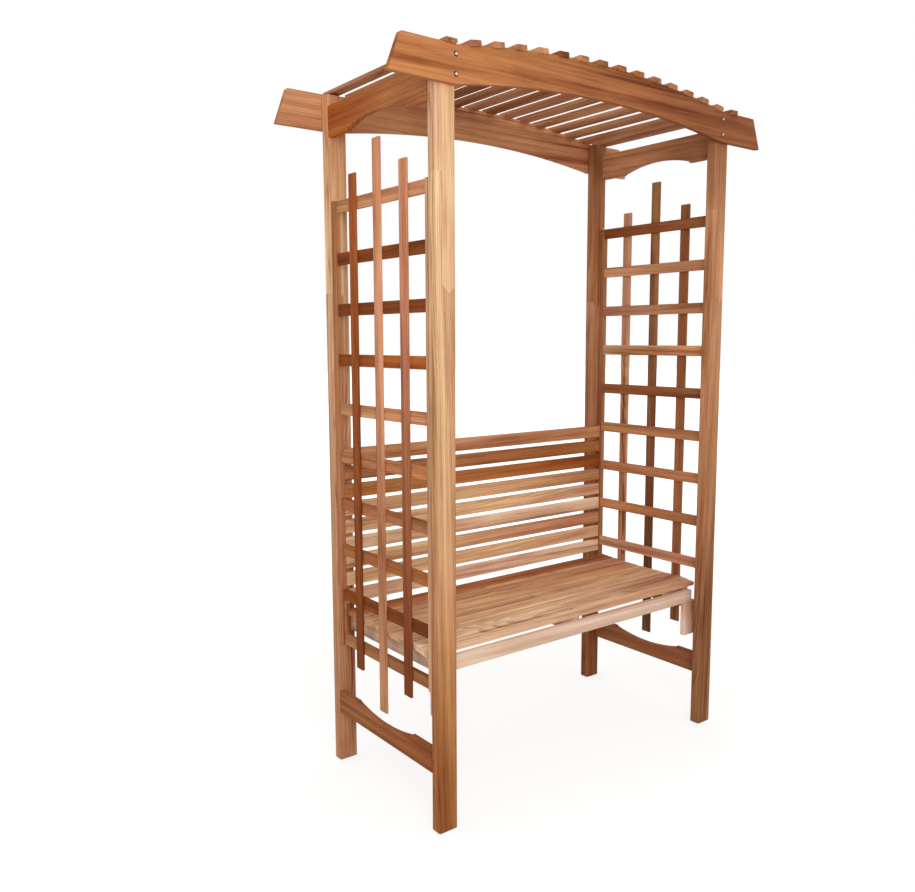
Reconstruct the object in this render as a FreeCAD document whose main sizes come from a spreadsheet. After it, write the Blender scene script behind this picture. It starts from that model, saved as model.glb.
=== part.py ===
"""Arbour seat: a slatted garden bench between trellis sides, under an arched roof of tilted slats.

Millimetres, +Z up. The origin is at the bottom centre, on the ground. X runs along the bench,
Y runs from the open front (-Y) to the back (+Y), and left is -X.
"""
import FreeCAD, Part

import os

import Sketcher

doc = FreeCAD.newDocument("ArbourSeat")
sheet = doc.addObject("Spreadsheet::Sheet", "Sizes")

# Driving dimensions, in mm, or a plain count
SIZES = {
    # Frame, over the outer faces of the posts
    "OverallHeight": 2184.4,
    "FrameWidth": 1220.0,
    "FrameDepth": 592.0,
    # Posts, each of a lower and an upper length with a pointed lap joint
    "PostWidth": 63.5,
    "PostThickness": 38.1,
    "PostRound": 6.0,
    "FootEase": 3.0,
    "PostTopDrop": 8.0,
    "UpperPostLength": 305.0,
    "LapLength": 289.0,
    "LapPoint": 22.0,
    "LapCheek": 19.0,
    # Arched beams on the front and back faces of the posts
    "BeamThickness": 16.0,
    "BeamDepth": 97.0,
    "RearBeamExtra": 10.0,
    "BeamOverhang": 152.9,
    "BeamTail": 38.0,
    "BeamCorner": 8.0,
    "BeamEase": 1.5,
    "ArchRise": 44.4,
    "ArchInset": 0.5,
    # Round-headed screws that hold a beam to a post. They end inside the post.
    "ScrewRadius": 3.2,
    "ScrewClearance": 0.2,
    "ScrewHeadRadius": 7.2,
    "ScrewHeadHeight": 3.8,
    "ScrewMargin": 24.0,
    "ScrewEdge": 9.0,
    "ScrewCover": 6.0,
    # Roof slats. The row stands a little to the right of the middle.
    "RoofSlats": 16,
    "RoofSlatWidth": 38.1,
    "RoofSlatThickness": 11.1,
    "RoofShift": 18.0,
    "RoofEave": 5.5,
    "SlatEase": 2.0,
    # Scalloped side rails between the front and back posts
    "RailThickness": 19.0,
    "RailInset": 0.8,
    "UpperRailDepth": 92.0,
    "UpperScallopDepth": 28.0,
    "RailTopDrop": 34.0,
    "LowerRailDepth": 73.0,
    "LowerScallopDepth": 24.0,
    "LowerRailHeight": 169.0,
    "ScallopCusp": 4.0,
    "ScallopShoulder": 107.0,
    # Trellis panels in the sides. A lath and an upright together are as thick as a stile. On the left
    # side the outer uprights sit a slip higher and the middle laths a slip lower than evenly spaced;
    # on the right side it is the other way round.
    "TrellisInset": 4.5,
    "TrellisTopDrop": 190.0,
    "TrellisDrop": 117.5,
    "StileWidth": 19.0,
    "LathRows": 10,
    "LathWidth": 36.6,
    "LathThickness": 12.0,
    "LathSlip": 11.0,
    "UprightWidth": 38.1,
    "UprightThickness": 8.0,
    "UprightSpacing": 134.0,
    "UprightSlip": 8.0,
    "UprightReach": 59.0,
    "CentreReach": 146.0,
    "LathEase": 1.6,
    # Seat, measured to the top of its back edge
    "SeatHeight": 521.0,
    "SeatSlats": 7,
    "SeatSlatGap": 4.5,
    "SeatSlatThickness": 14.0,
    "SeatSideGap": 2.0,
    "SeatBackGap": 10.0,
    "SeatFall": 7.0,
    "SeatDip": 5.0,
    "SeatRoll": 9.0,
    # Frame under the seat
    "ApronDepth": 49.0,
    "ApronThickness": 19.0,
    "ApronDrop": 16.5,
    "ApronReach": 15.0,
    "ApronSetback": 20.0,
    "SeatFrameGap": 22.0,
    "BearerThickness": 19.0,
    "CleatWidth": 60.0,
    "CleatLength": 120.0,
    # Slatted bench back
    "BackSlats": 9,
    "BackSlatWidth": 45.0,
    "BackSlatThickness": 12.0,
    "BackPitch": 57.7,
    "BackGap": 13.6,
}

for row, (alias, size) in enumerate(SIZES.items(), start=1):
    sheet.set(f"A{row}", alias)
    sheet.set(f"B{row}", str(size))
    sheet.setAlias(f"B{row}", alias)
doc.recompute()


def value(expression):
    """The number that an expression of the sheet's sizes comes to."""
    return float(sheet.evalExpression(str(expression)))


def count(alias):
    """A whole number from the sheet."""
    return int(round(value(f"Sizes.{alias}")))


# Levels and planes that the pieces share, as expressions of the sizes
HALF_WIDTH = "Sizes.FrameWidth / 2"
HALF_DEPTH = "Sizes.FrameDepth / 2"
POST_X = "(Sizes.FrameWidth - Sizes.PostWidth) / 2"
POST_Y = "(Sizes.FrameDepth - Sizes.PostThickness) / 2"
BETWEEN_POSTS_Y = "(Sizes.FrameDepth / 2 - Sizes.PostThickness)"
RIDGE_Z = "(Sizes.OverallHeight - Sizes.RoofSlatThickness)"
EAVE_Z = f"({RIDGE_Z} - Sizes.ArchRise)"
POST_TOP_Z = f"({EAVE_Z} - Sizes.PostTopDrop)"
SHOULDER_Z = f"({POST_TOP_Z} - Sizes.UpperPostLength)"
ARCH_HALF = "(Sizes.FrameWidth / 2 - Sizes.RoofSlatWidth - Sizes.RoofShift - Sizes.ArchInset)"
ARCH_RADIUS = f"(({ARCH_HALF} ^ 2 + Sizes.ArchRise ^ 2) / (2 * Sizes.ArchRise))"
RAIL_TOP_Z = f"({POST_TOP_Z} - Sizes.RailTopDrop)"
TRELLIS_TOP_Z = f"({RAIL_TOP_Z} - Sizes.UpperRailDepth - Sizes.TrellisTopDrop)"
TRELLIS_BOTTOM_Z = "(Sizes.SeatHeight - Sizes.TrellisDrop)"
RAIL_FACE_X = "(Sizes.FrameWidth / 2 - Sizes.RailInset)"
TRELLIS_FACE_X = "(Sizes.FrameWidth / 2 - Sizes.TrellisInset)"
STILE_THICKNESS = "(Sizes.LathThickness + Sizes.UprightThickness)"
TRELLIS_INNER_X = f"({TRELLIS_FACE_X} - {STILE_THICKNESS})"
BACK_FACE_Y = f"({BETWEEN_POSTS_Y} - Sizes.BackSlatThickness)"
SEAT_REAR_Y = f"({BACK_FACE_Y} - Sizes.SeatBackGap)"
APRON_FRONT_Y = f"(Sizes.ApronSetback - {BETWEEN_POSTS_Y})"
SEAT_FRONT_Y = f"({APRON_FRONT_Y} + Sizes.ApronReach)"
SEAT_PITCH = f"(({SEAT_REAR_Y} - {SEAT_FRONT_Y}) / Sizes.SeatSlats)"
SEAT_UNDER_Z = "(Sizes.SeatHeight - Sizes.SeatSlatThickness)"
APRON_TOP_Z = f"({SEAT_UNDER_Z} - Sizes.ApronDrop)"
APRON_BOTTOM_Z = f"({APRON_TOP_Z} - Sizes.ApronDepth)"
SEAT_FRAME_X = f"({TRELLIS_INNER_X} - Sizes.SeatFrameGap)"

LEFT, RIGHT = -1, 1
FRONT, REAR = -1, 1
SIDES = (("left", LEFT), ("right", RIGHT))
ENDS = (("front", FRONT), ("rear", REAR))

nodes = {}


def origin_plane(body, role):
    """One of the body's own origin planes."""
    return next(item for item in body.Origin.OriginFeatures if item.Role == role)


def place(thing, x=0, y=0, z=0, axis=(0, 0, 1), angle=0):
    """Bind the placement of a piece to expressions of the sizes."""
    thing.Placement.Rotation = FreeCAD.Rotation(FreeCAD.Vector(*axis), value(angle))
    for path, expression in (("x", x), ("y", y), ("z", z)):
        thing.setExpression(f"Placement.Base.{path}", str(expression))
    thing.setExpression("Placement.Rotation.Angle", str(angle))


def bind_point(sketch, geometry, end, point):
    """Tie a point of a sketch to two expressions, measured from the sketch's origin."""
    for kind, expression in zip(("DistanceX", "DistanceY"), point):
        index = sketch.addConstraint(Sketcher.Constraint(kind, -1, 1, geometry, end, value(expression)))
        sketch.setExpression(f"Constraints[{index}]", str(expression))


def vector(point):
    """A sketch point as numbers."""
    return FreeCAD.Vector(value(point[0]), value(point[1]), 0)


def draw_outline(sketch, corners, arcs=None):
    """Draw a closed outline through the corners. arcs maps a side's number to a point on its arc."""
    arcs = arcs or {}
    first = None
    for side, corner in enumerate(corners):
        start, finish = vector(corner), vector(corners[(side + 1) % len(corners)])
        if side in arcs:
            middle = vector(arcs[side])
            curve = Part.Arc(start, middle, finish)
            edge = sketch.addGeometry(curve)
            turns_left = (middle - start).cross(finish - start).z > 0
            begin, end = (1, 2) if turns_left else (2, 1)
            point = sketch.addGeometry(Part.Point(middle), True)
            bind_point(sketch, point, 1, arcs[side])
            sketch.addConstraint(Sketcher.Constraint("PointOnObject", point, 1, edge))
        else:
            edge = sketch.addGeometry(Part.LineSegment(start, finish))
            begin, end = 1, 2
        bind_point(sketch, edge, begin, corner)
        if first is None:
            first = (edge, begin)
        else:
            sketch.addConstraint(Sketcher.Constraint("Coincident", previous[0], previous[1], edge, begin))
        previous = (edge, end)
    sketch.addConstraint(Sketcher.Constraint("Coincident", previous[0], previous[1], first[0], first[1]))


def draw_hole(sketch, centre, radius):
    """Draw a round hole."""
    circle = sketch.addGeometry(Part.Circle(vector(centre), FreeCAD.Vector(0, 0, 1), value(radius)))
    bind_point(sketch, circle, 3, centre)
    index = sketch.addConstraint(Sketcher.Constraint("Radius", circle, value(radius)))
    sketch.setExpression(f"Constraints[{index}]", radius)


def bore(body, centres, radius, face, depth):
    """Bore blind holes into a body that was drawn on its XZ plane. face is the distance to the -Y face."""
    sketch = body.newObject("Sketcher::SketchObject", f"{body.Name}_bores")
    sketch.AttachmentSupport = [(origin_plane(body, "XZ_Plane"), "")]
    sketch.MapMode = "FlatFace"
    sketch.setExpression("AttachmentOffset.Base.z", face)
    for centre in centres:
        draw_hole(sketch, centre, radius)
    pocket = body.newObject("PartDesign::Pocket", f"{body.Name}_bored")
    pocket.Profile = sketch
    pocket.setExpression("Length", depth)
    doc.recompute()


def profiled(name, plane, thickness, corners, arcs=None, holes=()):
    """A body padded from an outline, half its thickness to each side of the plane."""
    body = doc.addObject("PartDesign::Body", name)
    body.Label = name
    sketch = body.newObject("Sketcher::SketchObject", f"{name}_outline")
    sketch.AttachmentSupport = [(origin_plane(body, plane), "")]
    sketch.MapMode = "FlatFace"
    draw_outline(sketch, corners, arcs)
    for centre, radius in holes:
        draw_hole(sketch, centre, radius)
    pad = body.newObject("PartDesign::Pad", f"{name}_pad")
    pad.Profile = sketch
    pad.SideType = "Symmetric"
    pad.setExpression("Length", str(thickness))
    doc.recompute()
    return body


def dress_edges(body, kind, path, size, wanted):
    """Give the edges of the body's last feature that the test picks a fillet or chamfer."""
    base = body.Tip
    edges = [f"Edge{number}" for number, edge in enumerate(base.Shape.Edges, start=1) if wanted(edge)]
    dressing = body.newObject(f"PartDesign::{kind}", f"{body.Name}_{kind}")
    dressing.Base = (base, edges)
    dressing.setExpression(path, size)
    doc.recompute()


def round_edges(body, radius, wanted):
    """Round the edges that the test picks."""
    dress_edges(body, "Fillet", "Radius", radius, wanted)


def ease_edges(body, size, wanted):
    """Take the sharp edge off with a small chamfer, as a board comes from the planer."""
    dress_edges(body, "Chamfer", "Size", size, wanted)


def spans(edge, axis):
    """Whether an edge is straight and runs along the X, Y or Z axis, given as 0, 1 or 2."""
    if edge.Curve.TypeId != "Part::GeomLine":
        return False
    run = edge.Vertexes[-1].Point - edge.Vertexes[0].Point
    return abs(run[axis]) > 0.999 * edge.Length


def rectangle(width, height):
    """Corners of a rectangle about the sketch's origin."""
    x, y = f"{width} / 2", f"{height} / 2"
    return [(f"-{x}", f"-{y}"), (x, f"-{y}"), (x, y), (f"-{x}", y)]


# The plane a board's section is drawn on, for a board that runs along X, Y or Z
SECTION_PLANES = ("YZ_Plane", "XZ_Plane", "XY_Plane")


def board(name, along, length, width, height, ease):
    """A straight board centred on its origin, with its long edges eased."""
    body = profiled(name, SECTION_PLANES[along], length, rectangle(width, height))
    ease_edges(body, ease, lambda edge: spans(edge, along))
    return body


def keep(name, thing):
    """Enter a finished piece as a node."""
    thing.Label = name
    nodes[name] = thing


# Posts. The tongue of the upper length ends in a point that sits in a V of the lower length,
# and a narrow cheek of the lower length runs up beside it to the shoulder.
HALF_POST = "Sizes.PostWidth / 2"
SEAM_X = f"(Sizes.LapCheek - {HALF_POST})"
NOTCH_Z = f"({SHOULDER_Z} - Sizes.LapLength)"
POINT = (f"({SEAM_X} + {HALF_POST}) / 2", f"{NOTCH_Z} - Sizes.LapPoint")
LAP = [(HALF_POST, NOTCH_Z), POINT, (SEAM_X, NOTCH_Z), (SEAM_X, SHOULDER_Z)]


def post_edge(edge):
    """Whether an edge is one of the long outer edges of a post."""
    at_side = abs(edge.Vertexes[0].Point.x) > value(HALF_POST) - 0.1
    return at_side and spans(edge, 2)


def foot_edge(edge):
    """Whether an edge goes round the foot of a post."""
    return max(vertex.Point.z for vertex in edge.Vertexes) < 0.1


def post(corner, side, end):
    """Both lengths of one post. The back posts are turned half round."""
    turn = 0 if end == FRONT else 180
    x, y = f"{side} * {POST_X}", f"{end} * {POST_Y}"

    outline = [(f"-{HALF_POST}", "0"), (HALF_POST, "0")] + LAP + [(f"-{HALF_POST}", SHOULDER_Z)]
    lower = profiled(f"{corner}_post_lower", "XZ_Plane", "Sizes.PostThickness", outline)
    round_edges(lower, "Sizes.PostRound", post_edge)
    ease_edges(lower, "Sizes.FootEase", foot_edge)
    place(lower, x, y, 0, angle=turn)
    keep(f"{corner}_post_lower", lower)

    outline = [(f"-{HALF_POST}", POST_TOP_Z), (HALF_POST, POST_TOP_Z)] + LAP + [(f"-{HALF_POST}", SHOULDER_Z)]
    upper = profiled(f"{corner}_post_upper", "XZ_Plane", "Sizes.PostThickness", outline)
    round_edges(upper, "Sizes.PostRound", post_edge)
    inward = side * end
    centres = [(f"{inward} * ({HALF_POST} - Sizes.ScrewEdge)", level) for level in SCREW_LEVELS]
    bore(upper, centres, SCREW_HOLE, "Sizes.PostThickness / 2", SCREW_DEPTH)
    place(upper, x, y, 0, angle=turn)
    keep(f"{corner}_post_upper", upper)


# Beam screws. Two at each end of a beam, the same margin from its edges.
SCREW_HOLE = "Sizes.ScrewRadius + Sizes.ScrewClearance"
SCREW_X = "(Sizes.FrameWidth / 2 - Sizes.PostWidth + Sizes.ScrewEdge)"
SCREW_LEVELS = (
    f"{EAVE_Z} - Sizes.ScrewMargin",
    f"{EAVE_Z} - Sizes.BeamDepth + Sizes.ScrewMargin",
)
SCREW_DEPTH = "(Sizes.PostThickness - Sizes.ScrewCover)"


def beam_screw(name):
    """A round-headed screw along +Y, with the underside of its head at the origin."""
    radius, head = "Sizes.ScrewRadius", "Sizes.ScrewHeadRadius"
    length = f"Sizes.BeamThickness + {SCREW_DEPTH} - Sizes.ScrewClearance"
    height = "Sizes.ScrewHeadHeight"
    body = doc.addObject("PartDesign::Body", name)
    sketch = body.newObject("Sketcher::SketchObject", f"{name}_profile")
    sketch.AttachmentSupport = [(origin_plane(body, "XY_Plane"), "")]
    sketch.MapMode = "FlatFace"
    corners = [("0", f"-{height}"), (head, "0"), (radius, "0"), (radius, length), ("0", length)]
    crown = (f"{head} * 0.6", f"-{height} * 0.72")
    draw_outline(sketch, corners, {0: crown})
    turned = body.newObject("PartDesign::Revolution", f"{name}_turned")
    turned.Profile = sketch
    turned.ReferenceAxis = (sketch, ["V_Axis"])
    turned.Angle = 360
    doc.recompute()
    return body


def beam_screws():
    """Every screw of the roof beams, as one group of separate solids."""
    group = []
    for side_name, side in SIDES:
        for end_name, end in ENDS:
            turn = 0 if end == FRONT else 180
            y = f"{end} * ({HALF_DEPTH} + Sizes.BeamThickness)"
            for number, level in enumerate(SCREW_LEVELS, start=1):
                screw = beam_screw(f"screw_{end_name}_{side_name}_{number}")
                place(screw, f"{side} * {SCREW_X}", y, level, angle=turn)
                group.append(screw)
    compound = doc.addObject("Part::Compound", "beam_screws")
    compound.Links = group
    keep("beam_screws", compound)


def beam_end(edge, level):
    """Whether an edge runs through a beam's tail at the given level."""
    point = edge.Vertexes[0].Point
    outside = abs(point.x) > value(HALF_WIDTH)
    return outside and spans(edge, 1) and abs(point.z - value(level)) < 0.1


def roof_beam(end_name, end):
    """An arched beam with slanted tails, across the outer faces of two posts. The rear one is deeper."""
    tip = "(Sizes.FrameWidth / 2 + Sizes.BeamOverhang)"
    shoulder = f"({tip} - Sizes.BeamTail)"
    extra = "Sizes.RearBeamExtra" if end == REAR else "0"
    under = f"({EAVE_Z} - Sizes.BeamDepth - {extra})"
    right = [(tip, under), (shoulder, EAVE_Z), (ARCH_HALF, EAVE_Z)]
    left = [(f"-{ARCH_HALF}", EAVE_Z), (f"-{shoulder}", EAVE_Z), (f"-{tip}", under)]
    springing = [(f"-{ARCH_HALF}", under), (ARCH_HALF, under)]
    crowns = {2: ("0", RIDGE_Z), 6: ("0", f"{under} + Sizes.ArchRise")}
    holes = [
        ((f"{side} * {SCREW_X}", level), SCREW_HOLE)
        for side in (LEFT, RIGHT)
        for level in SCREW_LEVELS
    ]
    outline = right + left + springing
    beam = profiled(f"{end_name}_roof_beam", "XZ_Plane", "Sizes.BeamThickness", outline, crowns, holes)
    ease_edges(beam, "Sizes.BeamEase", lambda edge: beam_end(edge, under))
    round_edges(beam, "Sizes.BeamCorner", lambda edge: beam_end(edge, EAVE_Z))
    place(beam, 0, f"{end} * ({HALF_DEPTH} + Sizes.BeamThickness / 2)", 0)
    keep(f"{end_name}_roof_beam", beam)


def roof_slats():
    """Slats across both beams: the end ones level, the others square to the arch they cross."""
    slats = count("RoofSlats")
    length = "Sizes.FrameDepth + 2 * Sizes.BeamThickness + 2 * Sizes.RoofEave"
    pitch = "(Sizes.FrameWidth - Sizes.RoofSlatWidth) / (Sizes.RoofSlats - 1)"
    half = "Sizes.RoofSlatThickness / 2"
    for number in range(slats):
        name = f"roof_slat_{number + 1:02d}"
        slat = board(name, 1, length, "Sizes.RoofSlatWidth", "Sizes.RoofSlatThickness", "Sizes.SlatEase")
        across = f"(({number} - (Sizes.RoofSlats - 1) / 2) * {pitch} + Sizes.RoofShift)"
        sign = 1 if number * 2 > slats - 1 else -1
        if number in (0, slats - 1):
            place(slat, across, 0, f"{EAVE_Z} + {half}")
        else:
            lean = f"asin(min(1; abs({across}) / {ARCH_RADIUS}))"
            x = f"{across} + {sign} * {half} * sin({lean})"
            z = f"{RIDGE_Z} - {ARCH_RADIUS} * (1 - cos({lean})) + {half} * cos({lean})"
            place(slat, x, 0, z, axis=(0, sign, 0), angle=lean)
        keep(name, slat)


def scalloped_rail(name, side, level, depth, cut, toward):
    """A side rail with a scalloped edge. toward is -1 where the scallop is underneath, 1 on top."""
    half = BETWEEN_POSTS_Y
    depth = f"{toward} * {depth}"
    shoulder = f"({half} - Sizes.ScallopShoulder)"
    step = f"{depth} - {toward} * Sizes.ScallopCusp"
    deepest = f"{depth} - {toward} * {cut}"
    corners = [
        (half, "0"),
        (half, depth),
        (shoulder, depth),
        (shoulder, step),
        (f"-{shoulder}", step),
        (f"-{shoulder}", depth),
        (f"-{half}", depth),
        (f"-{half}", "0"),
    ]
    rail = profiled(name, "YZ_Plane", "Sizes.RailThickness", corners, {3: ("0", deepest)})
    ease_edges(rail, "Sizes.LathEase", lambda edge: spans(edge, 1))
    place(rail, f"{side} * ({RAIL_FACE_X} - Sizes.RailThickness / 2)", 0, level)
    keep(name, rail)


def trellis(side_name, side):
    """A trellis side: two stiles, laths between them, and three uprights on the laths' outer faces."""
    middle = f"({TRELLIS_BOTTOM_Z} + {TRELLIS_TOP_Z}) / 2"
    height = f"({TRELLIS_TOP_Z} - {TRELLIS_BOTTOM_Z})"
    for end_name, end in ENDS:
        name = f"{side_name}_{end_name}_stile"
        stile = board(name, 2, height, STILE_THICKNESS, "Sizes.StileWidth", "Sizes.LathEase")
        x = f"{side} * ({TRELLIS_FACE_X} - {STILE_THICKNESS} / 2)"
        place(stile, x, f"{end} * ({BETWEEN_POSTS_Y} - Sizes.StileWidth / 2)", middle)
        keep(name, stile)

    laths = []
    rows = count("LathRows")
    length = f"2 * ({BETWEEN_POSTS_Y} - Sizes.StileWidth)"
    pitch = f"({height} - Sizes.LathWidth) / (Sizes.LathRows - 1)"
    for row in range(rows):
        name = f"{side_name}_lath_{row + 1:02d}"
        lath = board(name, 1, length, "Sizes.LathThickness", "Sizes.LathWidth", "Sizes.LathEase")
        x = f"{side} * ({TRELLIS_INNER_X} + Sizes.LathThickness / 2)"
        slip = f"{side} * Sizes.LathSlip * {4 * row * (rows - 1 - row) / (rows - 1) ** 2}"
        place(lath, x, 0, f"{TRELLIS_BOTTOM_Z} + Sizes.LathWidth / 2 + {row} * {pitch} + {slip}")
        laths.append(lath)

    uprights = []
    for number in (-1, 0, 1):
        name = f"{side_name}_upright_{number + 2}"
        reach = "Sizes.UprightReach" if number else "Sizes.CentreReach"
        run = f"{height} + 2 * {reach}"
        upright = board(name, 2, run, "Sizes.UprightThickness", "Sizes.UprightWidth", "Sizes.LathEase")
        x = f"{side} * ({TRELLIS_FACE_X} - Sizes.UprightThickness / 2)"
        level = f"{middle} - {side} * Sizes.UprightSlip" if number else middle
        place(upright, x, f"{number} * Sizes.UprightSpacing", level)
        uprights.append(upright)

    lattice = doc.addObject("Part::Compound", f"{side_name}_trellis_lattice")
    lattice.Links = laths + uprights
    keep(f"{side_name}_trellis_lattice", lattice)


def back_slats():
    """Level slats on the front faces of the back posts, between the trellis stiles."""
    length = f"2 * {TRELLIS_INNER_X}"
    for number in range(count("BackSlats")):
        name = f"back_slat_{number + 1}"
        slat = board(name, 0, length, "Sizes.BackSlatThickness", "Sizes.BackSlatWidth", "Sizes.LathEase")
        y = f"{BETWEEN_POSTS_Y} - Sizes.BackSlatThickness / 2"
        z = f"Sizes.SeatHeight + Sizes.BackGap + Sizes.BackSlatWidth / 2 + {number} * Sizes.BackPitch"
        place(slat, 0, y, z)
        keep(name, slat)


# The seat's line falls a little from its back edge to a crest behind the front slat, with a shallow
# dip between, and rolls over the crest. It is straight under each slat, so that the slat seats.
def seat_level(number):
    """Height of the bearers' top edge at the back of a slat, counted from the back edge."""
    if number > count("SeatSlats") - 1:
        return f"({SEAT_UNDER_Z} - Sizes.SeatFall - Sizes.SeatRoll)"
    part = f"({number} / (Sizes.SeatSlats - 1))"
    return f"({SEAT_UNDER_Z} - Sizes.SeatFall * {part} - Sizes.SeatDip * (1 - (2 * {part} - 1) ^ 2))"


def seat_slats():
    """Seat slats, square to the bearers' top edge, with their ends between two laths of each side."""
    length = f"2 * ({TRELLIS_FACE_X} - Sizes.UprightThickness - Sizes.SeatSideGap)"
    width = f"({SEAT_PITCH} - Sizes.SeatSlatGap)"
    half = "Sizes.SeatSlatThickness / 2"
    for number in range(count("SeatSlats")):
        name = f"seat_slat_{number + 1}"
        slat = board(name, 0, length, width, "Sizes.SeatSlatThickness", "Sizes.SlatEase")
        back, front = seat_level(number), seat_level(number + 1)
        lean = f"atan2({back} - {front}; {SEAT_PITCH})"
        y = f"{SEAT_REAR_Y} - ({number} + 0.5) * {SEAT_PITCH} - {half} * sin({lean})"
        z = f"({back} + {front}) / 2 + {half} * cos({lean})"
        place(slat, 0, y, z, axis=(1, 0, 0), angle=lean)
        keep(name, slat)


def seat_bearer(name, x):
    """A bearer from the front apron to the back apron, cut on top to the seat's line."""
    rear = f"({BETWEEN_POSTS_Y} - Sizes.ApronThickness)"
    front = f"({APRON_FRONT_Y} + Sizes.ApronThickness)"
    tops = count("SeatSlats")
    line = [(f"{SEAT_REAR_Y} - {number} * {SEAT_PITCH}", seat_level(number)) for number in range(tops)]
    last = seat_level(tops - 1)
    last_slope = f"({last} - {seat_level(tops)}) / {SEAT_PITCH}"
    last_run = f"({SEAT_REAR_Y} - {tops - 1} * {SEAT_PITCH} - {front})"
    end_level = f"{last} - {last_slope} * {last_run}"
    corners = [(front, APRON_BOTTOM_Z), (rear, APRON_BOTTOM_Z), (rear, SEAT_UNDER_Z)]
    corners += line + [(front, end_level)]
    bearer = profiled(name, "YZ_Plane", "Sizes.BearerThickness", corners)
    place(bearer, x, 0, 0)
    keep(name, bearer)


def seat_frame():
    """Aprons across the front and back, three bearers between them, and cleats under the front corners."""
    length = f"2 * {SEAT_FRAME_X}"
    middle = f"{APRON_TOP_Z} - Sizes.ApronDepth / 2"
    half = "Sizes.ApronThickness / 2"
    places = {"front": f"{APRON_FRONT_Y} + {half}", "rear": f"{BETWEEN_POSTS_Y} - {half}"}
    for end_name, y in places.items():
        name = f"seat_{end_name}_apron"
        apron = board(name, 0, length, "Sizes.ApronThickness", "Sizes.ApronDepth", "Sizes.LathEase")
        place(apron, 0, y, middle)
        keep(name, apron)

    seat_bearer("seat_centre_bearer", "0")
    for side_name, side in SIDES:
        seat_bearer(f"seat_{side_name}_bearer", f"{side} * ({SEAT_FRAME_X} - Sizes.BearerThickness / 2)")
        name = f"seat_{side_name}_cleat"
        width, thickness = "Sizes.CleatWidth", "Sizes.ApronThickness"
        cleat = board(name, 2, "Sizes.CleatLength", width, thickness, "Sizes.LathEase")
        x = f"{side} * ({TRELLIS_INNER_X} - Sizes.CleatWidth / 2)"
        place(cleat, x, places["front"], f"{APRON_BOTTOM_Z} - Sizes.CleatLength / 2")
        keep(name, cleat)


def check(thing):
    """Stop if a piece failed to build."""
    if "Invalid" in thing.State or "Error" in thing.State:
        raise RuntimeError(f"{thing.Label} did not recompute: {thing.State}")


for side_name, side in SIDES:
    for end_name, end in ENDS:
        post(f"{end_name}_{side_name}", side, end)
for end_name, end in ENDS:
    roof_beam(end_name, end)
beam_screws()
roof_slats()
upper_rail = (RAIL_TOP_Z, "Sizes.UpperRailDepth", "Sizes.UpperScallopDepth", -1)
lower_rail = ("Sizes.LowerRailHeight", "Sizes.LowerRailDepth", "Sizes.LowerScallopDepth", 1)
for side_name, side in SIDES:
    scalloped_rail(f"{side_name}_upper_rail", side, *upper_rail)
    scalloped_rail(f"{side_name}_lower_rail", side, *lower_rail)
    trellis(side_name, side)
back_slats()
seat_slats()
seat_frame()
doc.recompute()

for thing in doc.Objects:
    check(thing)
for name, thing in nodes.items():
    if thing.Shape.isNull() or not thing.Shape.isValid():
        raise RuntimeError(f"{name} has no valid shape")

os.makedirs("parts", exist_ok=True)
volume = 0
for name, thing in nodes.items():
    thing.Shape.exportStep(f"parts/{name}.step")
    volume += thing.Shape.Volume
print(f"{len(nodes)} nodes, {volume / 1e6:.2f} litres of timber and metal")
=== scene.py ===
"""Arbour seat in planed cedar: a slatted bench between trellis sides, under an arched slatted roof.

Metres, in the frame of the construction: X along the bench, -Y the open front, +Z up.
"""

import random
from functools import partial
from math import pi

import bmesh
import bpy
from mathutils import Matrix, Vector


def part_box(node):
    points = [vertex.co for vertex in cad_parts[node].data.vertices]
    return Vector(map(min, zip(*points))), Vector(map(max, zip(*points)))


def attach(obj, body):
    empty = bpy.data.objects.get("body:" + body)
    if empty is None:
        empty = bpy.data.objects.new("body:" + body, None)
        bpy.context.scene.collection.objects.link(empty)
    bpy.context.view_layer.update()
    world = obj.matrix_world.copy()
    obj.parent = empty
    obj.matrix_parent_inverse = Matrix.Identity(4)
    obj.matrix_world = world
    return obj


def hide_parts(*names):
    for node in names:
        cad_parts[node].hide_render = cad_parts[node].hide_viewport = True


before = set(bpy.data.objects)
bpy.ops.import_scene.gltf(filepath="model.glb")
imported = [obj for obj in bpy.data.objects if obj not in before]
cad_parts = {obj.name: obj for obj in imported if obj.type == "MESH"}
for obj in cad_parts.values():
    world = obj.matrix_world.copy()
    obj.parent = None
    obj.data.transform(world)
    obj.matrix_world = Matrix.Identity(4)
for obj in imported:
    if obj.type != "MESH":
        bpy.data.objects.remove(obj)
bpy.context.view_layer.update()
scene = bpy.context.scene
scene.view_settings.view_transform = "Standard"

# Camera
# It stands a little below eye height to the left of the open front, about 2.9 m from the seat's
# middle, and looks slightly down.
CAMERA_PLACE = (-1.9586, -2.1496, 1.3853)
CAMERA_TURN = -0.65221
CAMERA_TILT = -0.12229
CAMERA_ROLL = -0.00364
CAMERA_REACH = 100
SENSOR_WIDTH = 36.0
IMAGE_WIDTH = 915
FOCAL_PIXELS = 869.0

camera_data = bpy.data.cameras.new("camera")
camera_data.sensor_width = SENSOR_WIDTH
camera_data.sensor_fit = "HORIZONTAL"
camera_data.lens = FOCAL_PIXELS / IMAGE_WIDTH * SENSOR_WIDTH
camera_data.clip_end = CAMERA_REACH
camera = bpy.data.objects.new("camera", camera_data)
turned = Matrix.Rotation(CAMERA_TURN, 3, "Z") @ Matrix.Rotation(pi / 2 + CAMERA_TILT, 3, "X")
rolled = turned @ Matrix.Rotation(CAMERA_ROLL, 3, "Z")
camera.matrix_world = Matrix.LocRotScale(Vector(CAMERA_PLACE), rolled.to_quaternion(), None)
scene.collection.objects.link(camera)
scene.camera = camera

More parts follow.
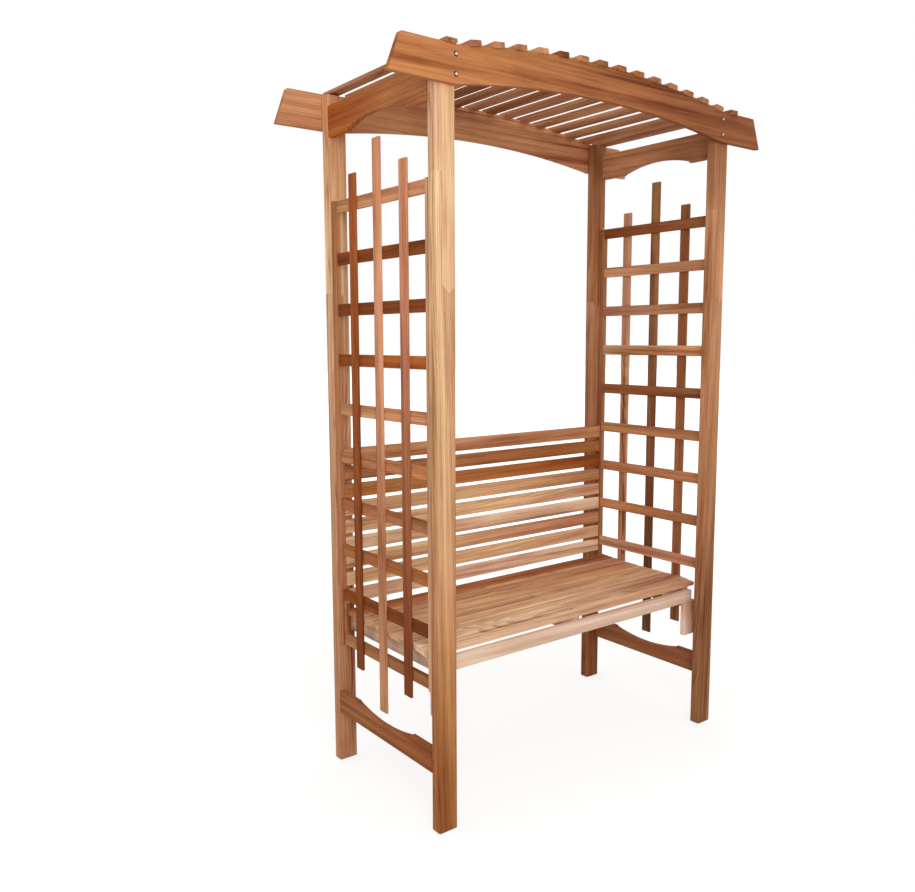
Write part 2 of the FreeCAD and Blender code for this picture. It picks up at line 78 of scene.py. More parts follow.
# Studio
# A plain pale floor that runs out into a white surround and keeps the seat's soft shadow, and one
# large soft lamp in front to the left.
FLOOR_SIZE = 60
FLOOR_COLOUR = (0.6, 0.6, 0.6, 1)
FLOOR_SHADOW_COLOUR = (0.36, 0.36, 0.36, 1)
FLOOR_ROUGHNESS = 0.9
FLOOR_SPECULAR = 0.1
FLOOR_GLOW_NEAR, FLOOR_GLOW_FAR = 0.73, 1.0
GLOW_START, GLOW_END = 1.0, 4.0
WHITE = (1, 1, 1, 1)
AMBIENT_COLOUR = (1, 0.985, 0.965, 1)
AMBIENT_STRENGTH = 0.75
LAMP_PLACE = Vector((-2.1, -3.1, 2.1))
LAMP_AIM = Vector((0, 0, 1.2))
LAMP_SIZE = 1.8
LAMP_POWER = 52


def maths(tree, operation, first, second=None):
    """A Math node fed by sockets or numbers."""
    node = tree.nodes.new("ShaderNodeMath")
    node.operation = operation
    for place, feed in enumerate((first, second)):
        if isinstance(feed, (int, float)):
            node.inputs[place].default_value = feed
        elif feed is not None:
            tree.links.new(feed, node.inputs[place])
    return node.outputs[0]


def level_between(tree, value, start, end, low=0.0, high=1.0, easing="SMOOTHSTEP"):
    """A level that goes from low to high while a value goes from start to end."""
    node = tree.nodes.new("ShaderNodeMapRange")
    node.interpolation_type = easing
    node.inputs["From Min"].default_value = start
    node.inputs["From Max"].default_value = end
    node.inputs["To Min"].default_value = low
    node.inputs["To Max"].default_value = high
    tree.links.new(value, node.inputs["Value"])
    return node.outputs["Result"]


def colour_between(tree, share, first, second):
    """A colour that goes from the first to the second with a share."""
    node = tree.nodes.new("ShaderNodeMix")
    node.data_type = "RGBA"
    node.inputs["A"].default_value = first
    node.inputs["B"].default_value = second
    tree.links.new(share, node.inputs["Factor"])
    return node.outputs["Result"]


def seen_directly(tree):
    """The share of rays that reach a surface from the camera, a mirror or a glass."""
    path = tree.nodes.new("ShaderNodeLightPath")
    seen = maths(tree, "MAXIMUM", path.outputs["Is Camera Ray"], path.outputs["Is Glossy Ray"])
    return maths(tree, "MAXIMUM", seen, path.outputs["Is Transmission Ray"])


floor_mesh = bpy.data.meshes.new("floor")
form = bmesh.new()
bmesh.ops.create_grid(form, x_segments=1, y_segments=1, size=FLOOR_SIZE / 2)
form.to_mesh(floor_mesh)
form.free()
floor = bpy.data.objects.new("floor", floor_mesh)
scene.collection.objects.link(floor)

floor_finish = bpy.data.materials.new("pale_floor")
floor_finish.use_nodes = True
tree = floor_finish.node_tree
nodes, links = tree.nodes, tree.links
surface = nodes["Principled BSDF"]
seen = seen_directly(tree)
tone = colour_between(tree, seen, FLOOR_COLOUR, FLOOR_SHADOW_COLOUR)
links.new(tone, surface.inputs["Base Color"])
surface.inputs["Roughness"].default_value = FLOOR_ROUGHNESS
surface.inputs["Specular IOR Level"].default_value = FLOOR_SPECULAR
place = nodes.new("ShaderNodeTexCoord")
distance = nodes.new("ShaderNodeVectorMath")
distance.operation = "LENGTH"
links.new(place.outputs["Object"], distance.inputs[0])
away = distance.outputs["Value"]
glow = level_between(tree, away, GLOW_START, GLOW_END, FLOOR_GLOW_NEAR, FLOOR_GLOW_FAR)
white = nodes.new("ShaderNodeEmission")
white.inputs["Color"].default_value = WHITE
links.new(maths(tree, "MULTIPLY", glow, seen), white.inputs["Strength"])
both = nodes.new("ShaderNodeAddShader")
links.new(surface.outputs[0], both.inputs[0])
links.new(white.outputs[0], both.inputs[1])
links.new(both.outputs[0], nodes["Material Output"].inputs["Surface"])
floor_mesh.materials.append(floor_finish)

world = bpy.data.worlds.new("studio")
world.use_nodes = True
scene.world = world
tree = world.node_tree
nodes, links = tree.nodes, tree.links
nodes.clear()
ambient = nodes.new("ShaderNodeBackground")
ambient.inputs["Color"].default_value = AMBIENT_COLOUR
ambient.inputs["Strength"].default_value = AMBIENT_STRENGTH
surround = nodes.new("ShaderNodeBackground")
surround.inputs["Color"].default_value = WHITE
surround.inputs["Strength"].default_value = 1.0
mix = nodes.new("ShaderNodeMixShader")
out = nodes.new("ShaderNodeOutputWorld")
links.new(seen_directly(tree), mix.inputs["Fac"])
links.new(ambient.outputs[0], mix.inputs[1])
links.new(surround.outputs[0], mix.inputs[2])
links.new(mix.outputs[0], out.inputs["Surface"])

light = bpy.data.lights.new("front_lamp", "AREA")
light.size = LAMP_SIZE
light.energy = LAMP_POWER
lamp = bpy.data.objects.new("front_lamp", light)
lamp.location = LAMP_PLACE
lamp.rotation_euler = (LAMP_AIM - LAMP_PLACE).to_track_quat("-Z", "Y").to_euler()
scene.collection.objects.link(lamp)

# Posts
# Each post is two lengths of 2 by 3 cedar lumber, with a pointed lap joint glued and screwed. The
# edges of its foot are eased, so that it doesn't split when the seat is dragged.
# The lower lengths run darker towards the foot: partly the wood's own tone, partly painted shade near the
# ground
POST_TONES = {
    "front_left": ("ginger-blond", "blond-sand"),
    "front_right": ("dun-amber", "honey-dun"),
    "rear_left": ("tan-sand", "blond-honey"),
    "rear_right": ("chestnut-tan", "fawn-dun"),
}
# The built foot's eased edge is drawn in further at the ground. What lies between the ground and
# the edge's top, on the rounded corners only, is lifted, which hollows those corners.
FOOT_INSET = 0.0035
CORNER_LIFT = 0.0045
GROUND_LEVEL = 0.0005
EASE_TOP = 0.003
WELD = 1e-6

# All the timber is planed red cedar under a clear oil. Each board is sawn from its own place
# in a log, so each has its own tone, and rings, streaks and knots that run along it.
TONES = {
    "cream": (237, 197, 162),
    "petal": (231, 195, 172),
    "blond": (226, 179, 135),
    "sand": (214, 163, 124),
    "apricot": (224, 156, 113),
    "salmon": (206, 136, 103),
    "biscuit": (204, 149, 115),
    "honey": (204, 143, 101),
    "amber": (194, 135, 96),
    "tan": (181, 126, 89),
    "orange": (188, 120, 74),
    "fawn": (170, 113, 75),
    "dun": (157, 105, 70),
    "ginger": (165, 102, 57),
    "brown": (157, 99, 64),
    "copper": (172, 93, 43),
    "nutmeg": (152, 94, 58),
    "chestnut": (141, 84, 51),
    "rust": (153, 84, 34),
    "walnut": (113, 77, 54),
    "russet": (130, 70, 31),
    "umber": (108, 55, 23),
}
SCREEN_GAMMA = 2.2

# The soft patterns in a board: how many to a metre along it and across it, how finely each breaks
# up, and where in the log it is taken from
PATTERNS = {
    "wander": (1.3, 6, 2, (0, 0, 0)),
    "broad": (1.1, 28, 4, (0, 0, 0)),
    "bands": (0.55, 38, 2, (7.7, 2.1, 4.9)),
    "streak": (2.6, 150, 3, (5.5, 3.2, 0.8)),
    "fibre": (14, 520, 3, (0, 0, 0)),
    "fleck": (32, 900, 1, (1.3, 8.1, 0.4)),
    "patch": (2.2, 7, 3, (3.1, 5.3, 1.7)),
    "clear": (0.9, 11, 2, (6.2, 0.3, 9.1)),
    "warm": (1.7, 16, 3, (0.9, 4.4, 2.6)),
}
PATTERN_ROUGHNESS = 0.6
PATTERN_MIDDLE = 0.5

# Each pattern's share in the wood's brightness
BROAD_SHARE, PATCH_SHARE = 1.7, 0.8
STREAK_SHARE, FIBRE_SHARE = 0.95, 0.4
RING_SHARE, RING_MIDDLE = 0.42, 0.35
BAND_SHARE, FLECK_SHARE = -0.24, -0.12
PLAIN_LEVEL, DARKEST_LEVEL = 1.03, 0.2
HEART_DARKENING, HALO_DARKENING, CUT_DARKENING = 0.5, 0.12, 0.2

# Stops of (position, level)
HEART_STOPS = ((0.04, 1), (0.075, 0))
HALO_STOPS = ((0.04, 1), (0.3, 0))
RING_STOPS = ((0.0, 0), (1.0, 0), (0.45, 0.18), (0.86, 1))
BAND_STOPS = ((0.53, 0), (0.66, 1))
FLECK_STOPS = ((0.60, 0), (0.70, 1))
CLEAR_STOPS = ((0.38, 0.15), (0.62, 1))

# Knots: how many cells to a metre, and the cell tones above which a cell has one
KNOT_CELLS = 7.0
KNOT_CHANCE = 0.92
# How far the rings shift with the log's wander and round a knot, in metres
RING_WANDER = 0.045
RING_SWELL = 0.012
# How each colour channel falls with brightness, and how it drifts between golden and pink
CHANNELS = (("Red", 0.8, 0.0), ("Green", 1.15, 0.22), ("Blue", 1.35, -0.35))
WOOD_ROUGHNESS, FIBRE_ROUGHNESS, CUT_ROUGHNESS = 0.64, 0.2, 0.15
FIBRE_HEIGHT = 0.6


def linear(tone):
    """A colour written in screen values, as linear light."""
    return tuple((part / 255) ** SCREEN_GAMMA for part in tone) + (1,)


def socket(group, name, way, kind, start=None):
    """An input or output of a node group."""
    made = group.interface.new_socket(name=name, in_out=way, socket_type=kind)
    if start is not None:
        made.default_value = start


def stretched(tree, place, along, across, detail, start):
    """A noise drawn out along X, so many to a metre along it and across it."""
    stretch = tree.nodes.new("ShaderNodeMapping")
    stretch.inputs["Scale"].default_value = (along, across, across)
    stretch.inputs["Location"].default_value = start
    tree.links.new(place, stretch.inputs["Vector"])
    noise = tree.nodes.new("ShaderNodeTexNoise")
    noise.inputs["Scale"].default_value = 1.0
    noise.inputs["Detail"].default_value = detail
    noise.inputs["Roughness"].default_value = PATTERN_ROUGHNESS
    tree.links.new(stretch.outputs[0], noise.inputs["Vector"])
    return noise.outputs["Fac"]


def ramp(tree, value, stops):
    """A level that follows stops of (position, level)."""
    node = tree.nodes.new("ShaderNodeValToRGB")
    steps = node.color_ramp.elements
    for index, (position, level) in enumerate(stops):
        step = steps[index] if index < 2 else steps.new(position)
        step.position = position
        step.color = (level, level, level, 1)
    tree.links.new(value, node.inputs[0])
    return node.outputs["Color"]


def cedar_grain():
    """Group: the figure of a cedar board whose length is X, sawn from a log along X."""
    group = bpy.data.node_groups.new("cedar_grain", "ShaderNodeTree")
    socket(group, "Along Board", "INPUT", "NodeSocketVector")
    socket(group, "Cut End", "INPUT", "NodeSocketFloat", 0.0)
    socket(group, "Tone", "INPUT", "NodeSocketColor")
    socket(group, "Ring Width", "INPUT", "NodeSocketFloat", 0.004)
    socket(group, "Contrast", "INPUT", "NodeSocketFloat", 1.0)
    socket(group, "Color", "OUTPUT", "NodeSocketColor")
    socket(group, "Roughness", "OUTPUT", "NodeSocketFloat")
    socket(group, "Height", "OUTPUT", "NodeSocketFloat")
    nodes, links = group.nodes, group.links
    feed = nodes.new("NodeGroupInput")
    out = nodes.new("NodeGroupOutput")
    board = feed.outputs["Along Board"]
    cut_end = feed.outputs["Cut End"]
    work = partial(maths, group)
    look = {name: stretched(group, board, *pattern) for name, pattern in PATTERNS.items()}

    def swing(name, share):
        """How far a pattern lies from its middle, times a share."""
        return work("MULTIPLY", work("SUBTRACT", look[name], PATTERN_MIDDLE), share)

    # A knot sits in one cell in a dozen of a loose lattice, and the rings swell round it
    lattice = nodes.new("ShaderNodeTexVoronoi")
    lattice.inputs["Scale"].default_value = KNOT_CELLS
    links.new(board, lattice.inputs["Vector"])
    cell = nodes.new("ShaderNodeSeparateColor")
    links.new(lattice.outputs["Color"], cell.inputs[0])
    chosen = work("GREATER_THAN", cell.outputs["Red"], KNOT_CHANCE)
    heart = work("MULTIPLY", ramp(group, lattice.outputs["Distance"], HEART_STOPS), chosen)
    halo = work("MULTIPLY", ramp(group, lattice.outputs["Distance"], HALO_STOPS), chosen)

    # Rings about the log's centre, which wanders and swells slowly along its length
    parts = nodes.new("ShaderNodeSeparateXYZ")
    links.new(board, parts.inputs[0])
    squares = [work("POWER", parts.outputs[axis], 2) for axis in "YZ"]
    radius = work("SQRT", work("ADD", *squares))
    radius = work("ADD", radius, swing("wander", RING_WANDER))
    radius = work("ADD", radius, work("MULTIPLY", halo, RING_SWELL))
    ring = work("FRACT", work("DIVIDE", radius, feed.outputs["Ring Width"]))
    late = ramp(group, ring, RING_STOPS)

    # Brightness about 1, out of the rings, broad streaks of heartwood, fine fibres, slow shifts of
    # tone, darker bands and short flecks
    clear = ramp(group, look["clear"], CLEAR_STOPS)
    rings = work("MULTIPLY", work("SUBTRACT", RING_MIDDLE, late), clear)
    bands = ramp(group, look["bands"], BAND_STOPS)
    fleck = ramp(group, look["fleck"], FLECK_STOPS)
    total = swing("broad", BROAD_SHARE)
    for part in (
        work("MULTIPLY", rings, RING_SHARE),
        swing("streak", STREAK_SHARE),
        swing("fibre", FIBRE_SHARE),
        swing("patch", PATCH_SHARE),
        work("MULTIPLY", bands, BAND_SHARE),
        work("MULTIPLY", fleck, FLECK_SHARE),
    ):
        total = work("ADD", total, part)
    total = work("ADD", work("MULTIPLY", total, feed.outputs["Contrast"]), PLAIN_LEVEL)
    total = work("SUBTRACT", total, work("MULTIPLY", heart, HEART_DARKENING))
    total = work("SUBTRACT", total, work("MULTIPLY", halo, HALO_DARKENING))
    total = work("MULTIPLY", total, work("SUBTRACT", 1.0, work("MULTIPLY", cut_end, CUT_DARKENING)))
    total = work("MAXIMUM", total, DARKEST_LEVEL)

    # Dark streaks turn redder, so red falls least and blue most, and the hue drifts from golden to pink
    channels = nodes.new("ShaderNodeCombineColor")
    for name, power, drift in CHANNELS:
        level = work("POWER", total, power)
        links.new(work("MULTIPLY", level, work("ADD", 1.0, swing("warm", drift))), channels.inputs[name])
    tint = nodes.new("ShaderNodeMix")
    tint.data_type = "RGBA"
    tint.blend_type = "MULTIPLY"
    tint.clamp_result = True
    tint.inputs["Factor"].default_value = 1.0
    links.new(feed.outputs["Tone"], tint.inputs["A"])
    links.new(channels.outputs[0], tint.inputs["B"])
    links.new(tint.outputs["Result"], out.inputs["Color"])
    rough = work("ADD", WOOD_ROUGHNESS, work("MULTIPLY", look["fibre"], FIBRE_ROUGHNESS))
    rough = work("ADD", rough, work("MULTIPLY", cut_end, CUT_ROUGHNESS))
    links.new(rough, out.inputs["Roughness"])
    height = work("ADD", late, work("MULTIPLY", look["fibre"], FIBRE_HEIGHT))
    links.new(work("SUBTRACT", height, fleck), out.inputs["Height"])
    return group


GRAIN = cedar_grain()
# Turns that bring a board's length, along X, Y or Z, to X
TURNS = {
    "X": Matrix.Identity(3),
    "Y": Matrix.Rotation(-pi / 2, 3, "Z"),
    "Z": Matrix.Rotation(pi / 2, 3, "Y"),
}
# How a board lies in its log: the most that the grain slants through it and across it, how far
# along the log it may be taken, and how far its log's centre lies beside it and below or above it
SLANT_THROUGH, SLANT_ACROSS = 0.035, 0.01
LOG_REACH = 9
CENTRE_BESIDE = 0.06
CENTRE_DEPTHS = (0.03, 0.11)
RING_WIDTHS = (0.0028, 0.006)
CUT_END_FACING = 0.8
CONTRAST = 1.12
GRAIN_BUMP, GRAIN_DEPTH = 0.25, 0.0006
WOOD_SPECULAR = 0.15
draw = random.Random(86)


def cedar(name, along, tone, box, contrast=CONTRAST):
    """The finish of one board. Its tone is one word, or two with a dash for its low and high end."""
    finish = bpy.data.materials.new(f"cedar_{name}")
    finish.use_nodes = True
    tree = finish.node_tree
    nodes, links = tree.nodes, tree.links
    surface = nodes["Principled BSDF"]
    place = nodes.new("ShaderNodeTexCoord")

    turn = nodes.new("ShaderNodeMapping")
    through = Matrix.Rotation(draw.uniform(-SLANT_THROUGH, SLANT_THROUGH), 3, "Y")
    across = Matrix.Rotation(draw.uniform(-SLANT_ACROSS, SLANT_ACROSS), 3, "Z")
    rotation = through @ across @ TURNS[along]
    turn.inputs["Rotation"].default_value = rotation.to_euler()
    reach = draw.uniform(-LOG_REACH, LOG_REACH)
    beside = draw.uniform(-CENTRE_BESIDE, CENTRE_BESIDE)
    depth = draw.choice((-1, 1)) * draw.uniform(*CENTRE_DEPTHS)
    middle = rotation @ ((Vector(box[0]) + Vector(box[1])) / 2)
    turn.inputs["Location"].default_value = Vector((reach, beside, depth)) - middle
    links.new(place.outputs["Object"], turn.inputs["Vector"])

    grain = nodes.new("ShaderNodeGroup")
    grain.node_tree = GRAIN
    links.new(turn.outputs[0], grain.inputs["Along Board"])
    facing = nodes.new("ShaderNodeSeparateXYZ")
    links.new(place.outputs["Normal"], facing.inputs[0])
    cut = maths(tree, "ABSOLUTE", facing.outputs[along])
    links.new(maths(tree, "GREATER_THAN", cut, CUT_END_FACING), grain.inputs["Cut End"])
    spot = nodes.new("ShaderNodeSeparateXYZ")
    links.new(place.outputs["Object"], spot.inputs[0])
    axis = "XYZ".index(along)
    share = level_between(tree, spot.outputs[along], box[0][axis], box[1][axis])
    ends = [linear(TONES[word]) for word in tone.split("-")]
    links.new(colour_between(tree, share, ends[0], ends[-1]), grain.inputs["Tone"])
    grain.inputs["Ring Width"].default_value = draw.uniform(*RING_WIDTHS)
    grain.inputs["Contrast"].default_value = contrast

    links.new(grain.outputs["Color"], surface.inputs["Base Color"])
    links.new(grain.outputs["Roughness"], surface.inputs["Roughness"])
    bump = nodes.new("ShaderNodeBump")
    bump.inputs["Strength"].default_value = GRAIN_BUMP
    bump.inputs["Distance"].default_value = GRAIN_DEPTH
    links.new(grain.outputs["Height"], bump.inputs["Height"])
    links.new(bump.outputs[0], surface.inputs["Normal"])
    surface.inputs["Specular IOR Level"].default_value = WOOD_SPECULAR
    return finish


def coat(node, finish):
    """Give a built piece its finish."""
    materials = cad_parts[node].data.materials
    materials.clear()
    materials.append(finish)


def finish_board(node, along, tone, contrast=CONTRAST):
    """Give a built board its own cedar."""
    coat(node, cedar(node, along, tone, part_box(node), contrast))


def merged_copy(node):
    """A copy of a built piece's mesh to work on, with its loose triangles joined."""
    form = bmesh.new()
    form.from_mesh(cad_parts[node].data)
    bmesh.ops.remove_doubles(form, verts=form.verts, dist=WELD)
    for face in form.faces:
        face.smooth = False
    return form


def add_piece(name, form, finish, replaced=None):
    """A new piece made from a finished form. It may stand in for a built one."""
    mesh = bpy.data.meshes.new(name)
    form.to_mesh(mesh)
    form.free()
    mesh.materials.append(finish)
    piece = bpy.data.objects.new(name, mesh)
    scene.collection.objects.link(piece)
    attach(piece, "root")
    if replaced:
        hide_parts(replaced)


for corner, (lower_tone, upper_tone) in POST_TONES.items():
    node = f"{corner}_post_lower"
    form = merged_copy(node)
    low, high = (Vector(end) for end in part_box(node))
    centre = (low + high) / 2
    for vertex in form.verts:
        height = vertex.co.z - low.z
        if height < GROUND_LEVEL:
            vertex.co.x += FOOT_INSET if vertex.co.x < centre.x else -FOOT_INSET
            vertex.co.y += FOOT_INSET if vertex.co.y < centre.y else -FOOT_INSET
        elif height < EASE_TOP:
            vertex.co.z += CORNER_LIFT
    finish = cedar(node, "Z", lower_tone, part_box(node))
    add_piece(f"{corner}_leg", form, finish, node)
    finish_board(f"{corner}_post_upper", "Z", upper_tone)

# Roof beams
# One wide cedar board each across the front and the back, sawn to an arch and to slanted tails,
# and screwed over the outer faces of the posts.
BEAM_TONES = {"front": "orange-nutmeg", "rear": "honey-apricot"}
BEAM_CONTRAST = 1.15
for end, tone in BEAM_TONES.items():
    finish_board(f"{end}_roof_beam", "X", tone, BEAM_CONTRAST)

# Roof slats
# Sixteen short cedar boards, from many logs, screwed down across the two beams and square to the
# arch. All but the first are let into the beams, so they are thicker underneath than built.
SLAT_TONES = (
    "tan", "tan", "amber", "amber", "honey", "chestnut", "honey-dun", "dun-tan",
    "orange-nutmeg", "orange-tan", "tan", "honey", "amber", "tan", "amber", "dun-tan",
)
SLAT_LET_IN = 0.0042
UPWARD = 0.5


def upward_area(face):
    """A face's area, or 0 if it doesn't face up."""
    return face.calc_area() if face.normal.z > UPWARD else 0


roof_screw_places = []
for number, tone in enumerate(SLAT_TONES, start=1):
    node = f"roof_slat_{number:02d}"
    form = merged_copy(node)
    top = max(form.faces, key=upward_area).normal.copy()
    middle = sum((vertex.co for vertex in form.verts), Vector()) / len(form.verts)
    half = max((vertex.co - middle).dot(top) for vertex in form.verts)
    if number > 1:
        under = [vertex for vertex in form.verts if (vertex.co - middle).dot(top) < 0]
        bmesh.ops.translate(form, vec=-SLAT_LET_IN * top, verts=under)
    for end in BEAM_TONES:
        near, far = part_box(f"{end}_roof_beam")
        over_beam = Vector((middle.x, (near[1] + far[1]) / 2, middle.z))
        roof_screw_places.append((over_beam + half * top, top))
    finish = cedar(node, "Y", tone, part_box(node))
    add_piece(f"let_in_slat_{number:02d}", form, finish, node)

# Side rails
# Short cedar boards between the front and back posts, an upper and a lower one on each side, sawn
# to a scallop on one edge and screwed to the posts.
RAIL_TONES = {"left": ("orange-copper", "ginger-nutmeg"), "right": ("tan-honey", "brown")}
for side, (upper_tone, lower_tone) in RAIL_TONES.items():
    finish_board(f"{side}_upper_rail", "Y", upper_tone)
    finish_board(f"{side}_lower_rail", "Y", lower_tone)

# Trellis sides
# Thin cedar stiles against the posts, ten laths between them, and three uprights over the laths.
# Each lath and upright is a strip of its own, pinned where they cross.
LATH_ROUND = 0.0016
UPRIGHT_ROUND = 0.0022
ROUND_SEGMENTS = 2
# From the front to the back
STILE_TONES = {"left": ("biscuit-sand", "amber-fawn"), "right": ("brown", "dun")}
# From the bottom up
LATH_TONES = {
    "left": (
        "brown-fawn", "umber-rust", "ginger", "fawn-orange", "orange-amber",
        "apricot-amber", "copper-rust", "russet", "russet-rust", "apricot-honey",
    ),
    "right": (
        "brown", "biscuit-cream", "fawn-honey", "honey-amber", "fawn-amber",
        "nutmeg-chestnut", "apricot-blond", "tan-biscuit", "tan-amber", "nutmeg-russet",
    ),
}
# From the back to the front
UPRIGHT_TONES = {
    "left": ("russet-copper", "amber-salmon", "russet-salmon"),
    "right": ("biscuit", "walnut-dun", "dun-chestnut"),
}


def strip_boxes(node):
    """The boxes of the separate strips of a built lattice: the laths from the bottom up, then the
    uprights."""
    form = merged_copy(node)
    remaining = set(form.verts)
    boxes = []
    while remaining:
        start = remaining.pop()
        island, waiting = {start}, [start]
        while waiting:
            vertex = waiting.pop()
            for edge in vertex.link_edges:
                other = edge.other_vert(vertex)
                if other not in island:
                    island.add(other)
                    waiting.append(other)
        remaining -= island
        low = Vector([min(vertex.co[axis] for vertex in island) for axis in range(3)])
        high = Vector([max(vertex.co[axis] for vertex in island) for axis in range(3)])
        boxes.append((low, high))
    form.free()
    return sorted(boxes, key=lambda box: (round(box[1].z - box[0].z, 2), box[0].z, box[0].y))


def rounded_strip(box, rounding):
    """The form of a straight board that fills a box, with rounded edges."""
    form = bmesh.new()
    bmesh.ops.create_cube(form, size=1)
    bmesh.ops.scale(form, vec=box[1] - box[0], verts=form.verts)
    bmesh.ops.translate(form, vec=(box[0] + box[1]) / 2, verts=form.verts)
    bmesh.ops.bevel(
        form,
        geom=form.edges[:],
        offset=rounding,
        segments=ROUND_SEGMENTS,
        profile=0.5,
        affect="EDGES",
        material=-1,
    )
    return form


pin_places = []
for side, outward in (("left", Vector((-1, 0, 0))), ("right", Vector((1, 0, 0)))):
    for end, tone in zip(("front", "rear"), STILE_TONES[side]):
        finish_board(f"{side}_{end}_stile", "Z", tone)
    node = f"{side}_trellis_lattice"
    boxes = strip_boxes(node)
    rows = len(LATH_TONES[side])
    laths, uprights = boxes[:rows], sorted(boxes[rows:], key=lambda box: -box[0].y)
    for number, (box, tone) in enumerate(zip(laths, LATH_TONES[side]), start=1):
        name = f"{side}_lath_{number:02d}"
        finish = cedar(name, "Y", tone, box)
        add_piece(name, rounded_strip(box, LATH_ROUND), finish, node)
    for number, (box, tone) in enumerate(zip(uprights, UPRIGHT_TONES[side]), start=1):
        name = f"{side}_upright_{number}"
        finish = cedar(name, "Z", tone, box)
        add_piece(name, rounded_strip(box, UPRIGHT_ROUND), finish, node)
        face = box[0].x if outward.x < 0 else box[1].x
        for lath in laths:
            level = (lath[0].z + lath[1].z) / 2
            if box[0].z < level < box[1].z:
                pin_places.append((Vector((face, (box[0].y + box[1].y) / 2, level)), outward))

# Bench back
# Nine level cedar slats from the seat up, screwed to the front faces of the back posts. The lower
# ones are of pale wood and the upper ones of redder wood.
BACK_TONES = (
    "cream", "blond", "blond-amber", "cream", "blond-sand", "blond-amber", "orange-rust", "fawn-ginger",
    "honey-amber",
)
for number, tone in enumerate(BACK_TONES, start=1):
    finish_board(f"back_slat_{number}", "X", tone)

# Seat
# Seven cedar slats, screwed down on the bearers, from the back edge to the front, where the last
# one rolls over.
SEAT_TONES = (
    "orange-nutmeg", "blond-biscuit", "blond-honey", "sand-blond", "blond", "cream-biscuit", "cream-sand",
)
for number, tone in enumerate(SEAT_TONES, start=1):
    finish_board(f"seat_slat_{number}", "X", tone)

# Seat frame
# Aprons front and back, bearers between them, and cleats at the front corners, in pale sapwood.
# The front apron hangs a little under the slats, and light shows between the bearers.
APRON_DROP = 0.005
APRON_ROUND = 0.0024
APRON_CONTRAST = 0.6
SEAT_BEARERS = ("left", "centre", "right")
apron_box = [Vector(corner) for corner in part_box("seat_front_apron")]
apron_box[1].z -= APRON_DROP
finish = cedar("front_apron", "X", "petal", apron_box, APRON_CONTRAST)
apron = rounded_strip(apron_box, APRON_ROUND)
add_piece("front_apron", apron, finish, "seat_front_apron")
finish_board("seat_rear_apron", "X", "cream")
for place in SEAT_BEARERS:
    finish_board(f"seat_{place}_bearer", "Y", "petal")
for side in ("left", "right"):
    finish_board(f"seat_{side}_cleat", "Z", "petal-sand")

# Beam screws
# Zinc-plated steel screws with round heads, driven through each end of each beam into the post,
# two to a post. Their crowns carry a painted highlight and their flanks painted shade.
ZINC_PAINTED_SHADE = (0.06, 0.05, 0.045, 1)
ZINC_PAINTED_HIGHLIGHT = (0.75, 0.71, 0.62, 1)
CROWN_START, CROWN_END = 0.84, 0.96
SPANGLES = 700
ZINC_ROUGHNESS = 0.6


def zinc(axis):
    """The finish of zinc-plated heads that face along an axis, with a painted highlight on the crown and
    painted shade on the flanks.
    """
    finish = bpy.data.materials.new(f"zinc_{axis}")
    finish.use_nodes = True
    tree = finish.node_tree
    nodes, links = tree.nodes, tree.links
    surface = nodes["Principled BSDF"]
    surface.inputs["Metallic"].default_value = 1.0
    place = nodes.new("ShaderNodeTexCoord")
    facing = nodes.new("ShaderNodeSeparateXYZ")
    links.new(place.outputs["Normal"], facing.inputs[0])
    crown = maths(tree, "ABSOLUTE", facing.outputs[axis])
    # Painted highlight where the head faces along the axis, painted shade on its flanks
    painted_highlight = level_between(tree, crown, CROWN_START, CROWN_END, easing="LINEAR")
    links.new(colour_between(tree, painted_highlight, ZINC_PAINTED_SHADE, ZINC_PAINTED_HIGHLIGHT), surface.inputs["Base Color"])
    spangle = nodes.new("ShaderNodeTexNoise")
    spangle.inputs["Scale"].default_value = SPANGLES
    links.new(place.outputs["Object"], spangle.inputs["Vector"])
    rough = maths(tree, "MULTIPLY", spangle.outputs["Fac"], ZINC_ROUGHNESS)
    links.new(rough, surface.inputs["Roughness"])
    return finish


coat("beam_screws", zinc("Y"))

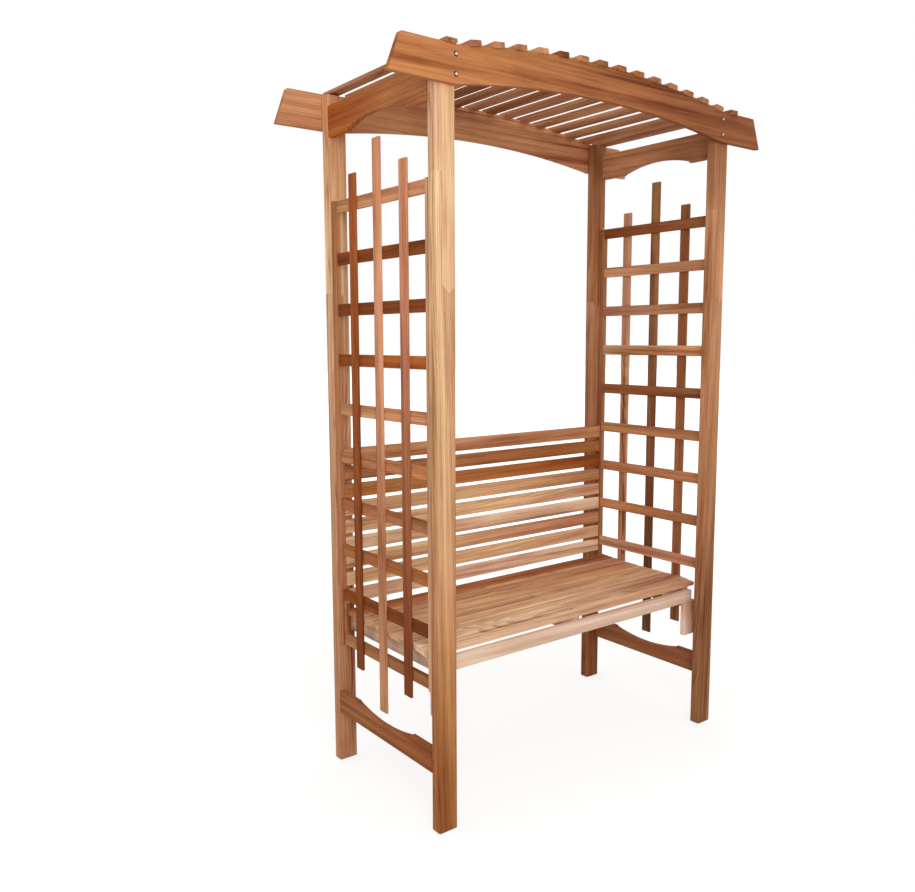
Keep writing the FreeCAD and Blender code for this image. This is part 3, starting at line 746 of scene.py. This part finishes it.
# Slat screws and trellis pins
# Small flush zinc screws hold the slats to the beams, posts and bearers, and thin pins hold the
# trellis where its strips cross. Each head has a recess for the driver.
HEAD_SIDES = 12
SCREW_RADIUS = 0.0034
PIN_RADIUS = 0.0017
HEAD_HEIGHT = 0.0012
HEAD_PROUD = 0.0003
# Shares of the head's radius and height
HEAD_TAPER = 0.9
RECESS_RIM = 0.45
RECESS_DEPTH = 0.6
UP, FORWARD = Vector((0, 0, 1)), Vector((0, -1, 0))


def heads(name, places, radius, finish):
    """Flush heads with a recess, one at each (place, outward direction)."""
    form = bmesh.new()
    for place, out in places:
        turn = out.to_track_quat("Z", "Y").to_matrix().to_4x4()
        made = bmesh.ops.create_cone(
            form,
            cap_ends=True,
            segments=HEAD_SIDES,
            radius1=radius,
            radius2=radius * HEAD_TAPER,
            depth=HEAD_HEIGHT,
            matrix=Matrix.Translation(place + out * (HEAD_PROUD - HEAD_HEIGHT / 2)) @ turn,
        )
        skin = {face for vertex in made["verts"] for face in vertex.link_faces}
        top = max(skin, key=lambda face: face.calc_center_median().dot(out))
        bmesh.ops.inset_individual(form, faces=[top], thickness=radius * RECESS_RIM, depth=0)
        bmesh.ops.translate(form, vec=-out * HEAD_HEIGHT * RECESS_DEPTH, verts=top.verts)
    add_piece(name, form, finish)


def middle_of(node):
    """The middle of a built piece's box."""
    low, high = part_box(node)
    return (Vector(low) + Vector(high)) / 2


back_screw_places = []
for number in range(1, len(BACK_TONES) + 1):
    slat = f"back_slat_{number}"
    for side in ("left", "right"):
        across = middle_of(f"rear_{side}_post_lower").x
        back_screw_places.append((Vector((across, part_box(slat)[0][1], middle_of(slat).z)), FORWARD))
seat_screw_places = []
for number in range(1, len(SEAT_TONES) + 1):
    slat = f"seat_slat_{number}"
    for place in SEAT_BEARERS:
        across = middle_of(f"seat_{place}_bearer").x
        seat_screw_places.append((Vector((across, middle_of(slat).y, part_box(slat)[1][2])), UP))

heads("back_screws", back_screw_places, SCREW_RADIUS, zinc("Y"))
heads("seat_screws", seat_screw_places, SCREW_RADIUS, zinc("Z"))
heads("roof_screws", roof_screw_places, SCREW_RADIUS, zinc("Z"))
heads("trellis_pins", pin_places, PIN_RADIUS, zinc("X"))
